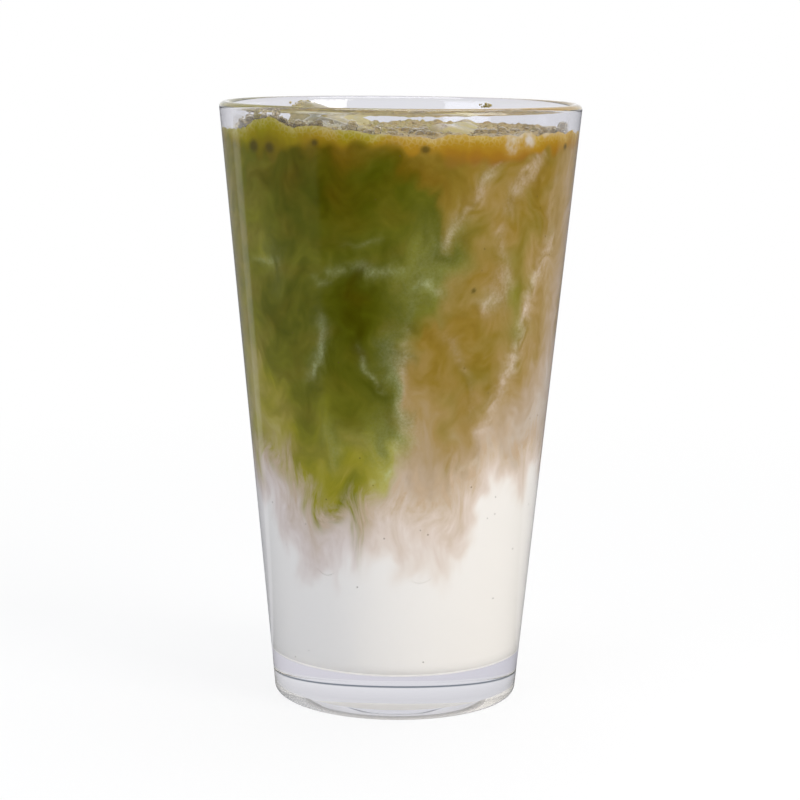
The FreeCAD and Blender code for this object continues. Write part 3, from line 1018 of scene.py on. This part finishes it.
def tea_side(name, reach, start, end):
    """One side of the drink: rings of points along the wall from one bearing to the other and
    straight back through the drink, from the milk's top up to the froth's foot, with a lap into
    both. A ring's heights follow from its places and its places from its heights, so from a first
    guess both are worked out four times over. A smaller ring and a pole close each end."""
    rows = []
    places = int(360 / STEP_ROUND * 0.6)
    for share in np.concatenate([[-1], np.linspace(0, 1, TEA_RINGS), [2]]):
        level = np.clip(share, 0, 1)
        z = FIRST_LOW + (FIRST_HIGH - FIRST_LOW) * level + np.zeros(places)
        for _ in range(4):
            first, last = start(z), end(z)
            turn = np.radians(first - SPILL + (last - first + 2 * SPILL) * np.linspace(0, 1, places))
            x, y = wall_places(wall_radius(z, reach), turn)
            bottom = milk_top(x, y) - LAP
            z = bottom + level * (froth_foot(x, y) + LAP - bottom)
        wall = np.stack([x, y, z], 1)
        back = np.linspace(0, 1, CHORD_POINTS + 2)[1:-1, None]
        chord = wall[-1] + back * (wall[0] - wall[-1])
        bottom = milk_top(chord[:, 0], chord[:, 1]) - LAP
        top = froth_foot(chord[:, 0], chord[:, 1]) + LAP
        chord[:, 2] = bottom + level * (top - bottom)
        ring = np.concatenate([wall, chord])
        if not 0 <= share <= 1:
            middle = ring.mean(0)
            ring = middle + (ring - middle) * 0.5
            height = milk_top if share < 0 else froth_foot
            ring[:, 2] = height(ring[:, 0], ring[:, 1])
        rows.append(ring)
    points = np.array(rows)
    flat = points.reshape(-1, 3)
    inward = np.zeros_like(flat)
    inward[:, :2] = -flat[:, :2] / np.maximum(np.hypot(flat[:, 0], flat[:, 1]), 1)[:, None]
    points = round_ice(flat.copy(), inward).reshape(points.shape)
    piece = rings(name, points, points[0].mean(0), points[-1].mean(0))
    tint(piece)
    return piece


def front_split(z):
    """The bearing at the front where the two teas' pieces meet, leaning as their line does."""
    x = SPLIT_OFFSET + SPLIT_LEAN * (z - SPLIT_HEIGHT)
    return np.degrees(np.arcsin(x / inner_radius(z)))


def back_split(z):
    """The same at the back of the tumbler."""
    return 180 - front_split(z)


green = tea_side("matcha_layer", 0.085, lambda z: back_split(z) - 360, front_split)
brown = tea_side("hojicha_layer", 0.090, front_split, back_split)
for piece, slot, name in ((green, "matcha", "matcha_latte"), (brown, "hojicha", "hojicha_latte")):
    piece.data.materials.append(drink_finish(name))
    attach(piece, "root")
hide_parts("matcha")
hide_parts("hojicha")

# ------------------------------------------------------------------------------------------------
# Froth. Fine bubbles whisked into the teas, risen to the top: an amber and olive band at the wall,
# and a wet, uneven skin of bubbles round the ice.

FROTH_REACH = 0.095
SIDE_RINGS = 16
TOP_RINGS = 110


def froth_cap():
    """Rings from the middle of the underside out to the wall, up it, and back over the top. Faces
    that look up get the second material, which is how froth looks from above."""
    turn = np.radians(np.arange(0, 360, STEP_ROUND))
    rim = float(inner_radius(FROTH_LEVEL))
    rows = []
    for share in np.linspace(0.1, 0.98, 12):
        x, y = wall_places(rim * share, turn)
        rows.append(np.stack([x, y, froth_foot(x, y)], 1))
    x, y = wall_places(rim - 0.1, turn)
    low = froth_foot(x, y)
    high = froth_top(x, y)
    for share in np.linspace(0, 1, SIDE_RINGS):
        z = low + share * (high - low)
        x, y = wall_places(wall_radius(z, FROTH_REACH), turn)
        rows.append(np.stack([x, y, z], 1))
    edge = len(rows)
    for share in np.linspace(0.996, 0.012, TOP_RINGS):
        x, y = wall_places(rim * share, turn)
        rows.append(np.stack([x, y, froth_top(x, y)], 1))
    points = np.array(rows)
    inward = np.zeros_like(points)
    inward[:edge, :, :2] = -points[:edge, :, :2] / rim
    inward[edge:, :, 2] = -1
    points = round_ice(points.reshape(-1, 3), inward.reshape(-1, 3)).reshape(points.shape)
    piece = rings("froth_layer", points, points[0].mean(0), points[-1].mean(0))
    tint(piece)
    piece.data.polygons.foreach_set("material_index", (upward(piece) > 0.15).astype(np.int32))
    return piece


def froth_finish():
    """Tea froth seen from above: small bubbles that scatter light to a pale tan, with dark films of tea
    between them and painted shade in the crevices and holes there. The cells are 1.6 and 0.6 mm wide."""
    material, tree = blank("tea_froth_bubbly")
    place = add(tree, "TexCoord", {}, {})["Object"]
    wide, small = (
        add(tree, "TexVoronoi", {"feature": "DISTANCE_TO_EDGE"}, {"Vector": place, "Scale": per(width)})[0]
        for width in (1.613, 0.5882)
    )
    noise = add(tree, "TexNoise", {}, {"Vector": place, "Scale": per(3.846), "Detail": 4.0})[0]
    cells = add(tree, "Math", {"operation": "ADD"}, {0: wide, 1: small})[0]
    cells = add(tree, "Math", {"operation": "MULTIPLY"}, {0: cells, 1: noise})[0]
    # The darkest stops, at the cells' edges, are painted shade in the crevices between bubbles.
    bubbles_with_crevice_shade = add(tree, "ValToRGB", {"stops": (
        (0.02, "36290c"), (0.50, "b0a274"), (0.10, "64521f"), (0.24, "84723a"),
    )}, {0: cells})[0]
    tea = add(tree, "Mix", {"data_type": "RGBA"}, {0: noise, 6: drink_colour(tree), 7: bubbles_with_crevice_shade})[2]
    bump = add(tree, "Bump", {}, {"Strength": 0.6, "Distance": 0.5 * MM, "Height": cells})[0]
    shader = add(tree, "BsdfPrincipled", {}, {
        "Base Color": tea,
        "Roughness": 0.35,
        "IOR": 1.34,
        "Normal": bump,
    })[0]
    add(tree, "OutputMaterial", {}, {0: shader})
    return material


cap = froth_cap()
cap.data.materials.append(drink_finish("tea_froth_at_the_glass"))
cap.data.materials.append(froth_finish())
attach(cap, "root")
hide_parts("foam")

# ------------------------------------------------------------------------------------------------
# Bubbles. The larger bubbles of the froth, thin balls of clear tea film from 0.2 to 2.8 mm wide,
# that sit on the froth and cling to the wall where the froth has climbed it.

BUBBLES_ON_TOP = 1500
BUBBLES_AT_WALL = 300
LARGEST_ON_TOP = 1.3
LARGEST_AT_WALL = 1.4
CLIMB = 1.4


def balls(name, centres, radii):
    """Many small balls in one mesh: three rings of eight points and two poles each, scaled by the
    radius and moved to the centre."""
    turn = np.radians(np.arange(0, 360, 45))
    rings_at = np.radians([-40, 5, 48])
    shape = [np.stack([np.cos(a) * np.cos(turn), np.cos(a) * np.sin(turn), np.sin(a) + 0 * turn], 1)
             for a in rings_at]
    shape = np.concatenate(shape + [np.array([[0, 0, 1.0], [0, 0, -1.0]])])
    here = np.arange(8)
    after = (here + 1) % 8
    sides = [np.stack([here, after, after + 8, here + 8], 1) + 8 * k for k in range(2)]
    crown = np.stack([here + 16, after + 16, np.full(8, 24)], 1)
    foot = np.stack([after, here, np.full(8, 25)], 1)
    start = (np.arange(len(centres)) * len(shape))[:, None, None]
    points = (centres[:, None] + radii[:, None, None] * shape[None]).reshape(-1, 3)
    quads = (np.concatenate(sides)[None] + start).reshape(-1, 4)
    tris = (np.concatenate([crown, foot])[None] + start).reshape(-1, 3)
    return linked(name, points, [quads, tris])


def bubble_places():
    """Random places on the froth, and where it has climbed the wall, clear of the ice. A radius is
    one over the root of a random number, so there are many small bubbles and few large ones, and
    they are smaller towards the back."""
    draw = np.random.default_rng(51)
    rim = float(inner_radius(FROTH_LEVEL))
    size = np.minimum(0.24 * (1 - draw.random(BUBBLES_ON_TOP)) ** -0.5, LARGEST_ON_TOP)
    away = np.sqrt(draw.random(BUBBLES_ON_TOP)) * (rim - size)
    x, y = wall_places(away, draw.random(BUBBLES_ON_TOP) * 2 * math.pi)
    size = size * np.clip(0.7 - y / 50, 0.35, 1)
    top = np.stack([x, y, froth_top(x, y) - 0.1 * size], 1)
    tall = np.minimum(0.22 * (1 - draw.random(BUBBLES_AT_WALL)) ** -0.5, LARGEST_AT_WALL)
    lump = draw.integers(0, len(LUMPS), BUBBLES_AT_WALL)
    middle, spread = np.array(LUMPS)[lump, 0], np.array(LUMPS)[lump, 2]
    bearing = np.radians(middle + spread * draw.standard_normal(BUBBLES_AT_WALL))
    rise = draw.random(BUBBLES_AT_WALL) ** 2 * CLIMB
    x, y = wall_places(rim - tall * 0.9, bearing)
    side = np.stack([x, y, froth_top(x, y) + rise], 1)
    centres = np.concatenate([top, side])
    radii = np.concatenate([size, tall])
    free = np.min([in_ice(centres, name) for name in cubes], axis=0) > 0.5 * radii
    low = centres[:, 2] + radii < GLASS_HEIGHT - 0.6
    return centres[free & low], radii[free & low]


def bubble_film():
    """A film of tea a few thousandths of a millimetre thick: it lets most light through, shines at
    its edge, and is a little milky."""
    material, tree = blank("bubble_film")
    place = add(tree, "TexCoord", {}, {})["Object"]
    noise = add(tree, "TexNoise", {}, {"Vector": place, "Scale": per(1.1111), "Detail": 2.0})[0]
    milky = add(tree, "ValToRGB", {"stops": ((0.3, "6e6034"), (0.7, "c0b48c"))}, {0: noise})[0]
    clear = add(tree, "BsdfTransparent", {}, {0: linear("f4efe2")})[0]
    body = add(tree, "BsdfDiffuse", {}, {0: milky})[0]
    shine = add(tree, "BsdfGlossy", {}, {0: linear("ffffff"), "Roughness": 0.03})[0]
    edge = add(tree, "LayerWeight", {}, {"Blend": 0.35})[1]
    soft_edge = add(tree, "Math", {"operation": "MULTIPLY_ADD"}, {0: edge, 1: 0.38, 2: 0.05})[0]
    film = add(tree, "MixShader", {}, {0: soft_edge, 1: clear, 2: body})[0]
    fresnel = add(tree, "Fresnel", {}, {0: 1.33})[0]
    both = add(tree, "MixShader", {}, {0: fresnel, 1: film, 2: shine})[0]
    add(tree, "OutputMaterial", {}, {0: both})
    return material


bubbles = balls("froth_bubbles", *bubble_places())
bubbles.data.materials.append(bubble_film())
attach(bubbles, "root")

# ------------------------------------------------------------------------------------------------
# Crumbs. Three flecks of matt froth that stayed on the wall above the drink when it was poured,
# each a cluster of grains about half a millimetre wide.

# (bearing, height, spread round in mm, spread up in mm, how many)
CRUMBS = ((-142, 146.2, 1.9, 0.6, 90), (148, 146.4, 0.9, 0.3, 20), (-52, 146.4, 0.5, 0.6, 30))


def crumb_places():
    """Places scattered about each fleck, with the grains just touching the wall."""
    draw = np.random.default_rng(77)
    centres, radii = [], []
    for bearing, height, wide, tall, count in CRUMBS:
        size = 0.14 + 0.26 * draw.random(count)
        z = height + tall * np.clip(draw.standard_normal(count), -1.5, 1.5)
        out = inner_radius(z) - 0.92 * size
        x, y = wall_places(out, math.radians(bearing) + wide * draw.standard_normal(count) / out)
        centres.append(np.stack([x, y, z], 1))
        radii.append(size)
    centres, radii = np.concatenate(centres), np.concatenate(radii)
    free = np.min([in_ice(centres, name) for name in cubes], axis=0) > 0.3 * radii
    return centres[free], radii[free]


def dry_froth():
    """Froth that has dried a little: matt, olive with tan grains."""
    material, tree = blank("dry_tea_froth")
    place = add(tree, "TexCoord", {}, {})["Object"]
    noise = add(tree, "TexNoise", {}, {"Vector": place, "Scale": per(2.0), "Detail": 3.0})[0]
    olive = add(tree, "ValToRGB", {"stops": (
        (0.3, "7c7234"), (0.72, "c8ba98"), (0.5, "a09258"),
    )}, {0: noise})[0]
    bump = add(tree, "Bump", {}, {"Strength": 0.5, "Distance": 0.3 * MM, "Height": noise})[0]
    shader = add(tree, "BsdfPrincipled", {}, {
        "Base Color": olive, "Roughness": 0.6, "IOR": 1.34, "Normal": bump,
    })[0]
    add(tree, "OutputMaterial", {}, {0: shader})
    return material


crumbs = balls("froth_crumbs", *crumb_places())
crumbs.data.materials.append(dry_froth())
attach(crumbs, "root")

# ------------------------------------------------------------------------------------------------
# Studio: a white table and surroundings, soft light from the right and above, and the camera.
# Places and sizes in this section are in metres.

WHITE = linear("ffffff")
TABLE_HALF = 9
floor_mesh = bpy.data.meshes.new("table_top")
corners = [(-1, -1, 0), (1, -1, 0), (1, 1, 0), (-1, 1, 0)]
corners = [(x * TABLE_HALF, y * TABLE_HALF, z) for x, y, z in corners]
floor_mesh.from_pydata(corners, [], [(0, 1, 2, 3)])
table_top = bpy.data.objects.new("table_top", floor_mesh)
bpy.context.scene.collection.objects.link(table_top)
material, tree = blank("white_table")
path = add(tree, "LightPath", {}, {})
place = add(tree, "TexCoord", {}, {})["Object"]
away = add(tree, "VectorMath", {"operation": "LENGTH"}, {0: place})["Value"]
far = add(tree, "MapRange", {"interpolation_type": "SMOOTHSTEP"}, {0: away, 1: 0.06, 2: 0.45})[0]
shadow = add(tree, "MapRange", {}, {0: far, 3: 0.80, 4: 1.0})[0]
matt = add(tree, "BsdfDiffuse", {}, {0: linear("f2f2f2")})[0]
lit = add(tree, "Emission", {}, {0: WHITE, 1: 1.0})[0]
plain = add(tree, "MixShader", {}, {0: shadow, 1: matt, 2: lit})[0]
# Painted shade: rays through the glass see the table as an emitted light grey, darker near the tumbler, in
# place of the shade under it.
shade_near_glass = add(tree, "Mix", {"data_type": "RGBA"}, {
    0: far, 6: linear("d9d7df"), 7: linear("e2e2e6"),
})[2]
through = add(tree, "Emission", {}, {0: shade_near_glass, 1: 1.0})[0]
# Painted reflections: for glossy rays the table is painted with what the glass mirrors, by sectors
# round it, as if a dark room were in front, a grey card on the left with a bright edge, and a pale
# sweep behind.
round_it = add(tree, "TexGradient", {"gradient_type": "RADIAL"}, {0: place})[0]
painted_reflections = add(tree, "ValToRGB", {"stops": (
    (0.0, "646668"), (1.0, "646668"), (0.098, "646668"), (0.108, "242426"), (0.575, "242426"),
    (0.59, "84848a"), (0.872, "84848a"), (0.88, "c0c0c4"), (0.90, "c0c0c4"), (0.91, "646668"),
)}, {0: round_it})[0]
shine = add(tree, "Emission", {}, {0: painted_reflections, 1: 1.0})[0]
look = add(tree, "MixShader", {}, {0: path["Is Camera Ray"], 1: matt, 2: plain})[0]
look = add(tree, "MixShader", {}, {0: path["Is Glossy Ray"], 1: look, 2: shine})[0]
look = add(tree, "MixShader", {}, {0: path["Is Transmission Ray"], 1: look, 2: through})[0]
add(tree, "OutputMaterial", {}, {0: look})
floor_mesh.materials.append(material)

world = bpy.data.worlds.new("white_studio")
world.use_nodes = True
bpy.context.scene.world = world
tree = world.node_tree
tree.nodes.clear()
path = add(tree, "LightPath", {}, {})
seen = add(tree, "Math", {"operation": "MAXIMUM"}, {
    0: path["Is Camera Ray"], 1: path["Is Transmission Ray"],
})[0]
seen = add(tree, "Math", {"operation": "MAXIMUM"}, {0: seen, 1: path["Is Glossy Ray"]})[0]
around = add(tree, "Background", {}, {0: linear("dfe3ea"), 1: 0.55})[0]
bright = add(tree, "Background", {}, {0: WHITE, 1: 1.0})[0]
both = add(tree, "MixShader", {}, {0: seen, 1: around, 2: bright})[0]
# Painted for rays through the glass only: a grey sweep in the world, whose top edge shows through
# the foot of the glass as a thin dark line.
height = add(tree, "SeparateXYZ", {}, {0: add(tree, "TexCoord", {}, {})["Generated"]})[2]
sweep = add(tree, "ValToRGB", {"stops": (
    (0.0, "e2e1e6"), (1.0, "ffffff"), (0.192, "e2e2e7"), (0.203, "747c86"), (0.213, "747c86"),
    (0.224, "e8e8ec"), (0.34, "dadade"), (0.6, "ffffff"),
)}, {0: height})[0]
through = add(tree, "Background", {}, {0: sweep, 1: 1.0})[0]
both = add(tree, "MixShader", {}, {0: path["Is Transmission Ray"], 1: both, 2: through})[0]
add(tree, "OutputWorld", {}, {0: both})


def lamp(name, place, size, power, code):
    """A soft box that faces the middle of the tumbler."""
    light = bpy.data.lights.new(name, "AREA")
    light.shape = "RECTANGLE"
    light.size, light.size_y = size
    light.energy = power
    light.color = linear(code)[:3]
    made = bpy.data.objects.new(name, light)
    made.location = place
    aim = np.array([0, 0, GLASS_HEIGHT * MM / 2]) - np.array(place)
    made.rotation_euler = (
        math.atan2(math.hypot(aim[0], aim[1]), -aim[2]), 0, math.atan2(aim[1], aim[0]) - math.pi / 2,
    )
    bpy.context.scene.collection.objects.link(made)


lamp("key_right", (0.75, -0.55, 0.45), (0.5, 0.7), 6.5, "fffaf2")
lamp("fill_left", (-0.7, -0.6, 0.35), (0.6, 0.7), 3.0, "eef3ff")
lamp("top", (0.05, 0.1, 0.9), (0.6, 0.6), 3.9, "ffffff")

# A long lens, a little over half a metre in front, that looks down by nine degrees.
camera = bpy.data.objects.new("camera", bpy.data.cameras.new("camera"))
camera.data.lens = 105.9
camera.data.sensor_width = 36.0
camera.data.clip_start = 0.01
camera.location = (0.00057, -0.5823, 0.1694)
camera.rotation_euler = (math.radians(90 - 9.286), 0.0, 0.0)
camera.rotation_euler.rotate_axis("Z", 0.0105)
bpy.context.scene.collection.objects.link(camera)
bpy.context.scene.camera = camera
bpy.context.scene.view_settings.view_transform = "Standard"
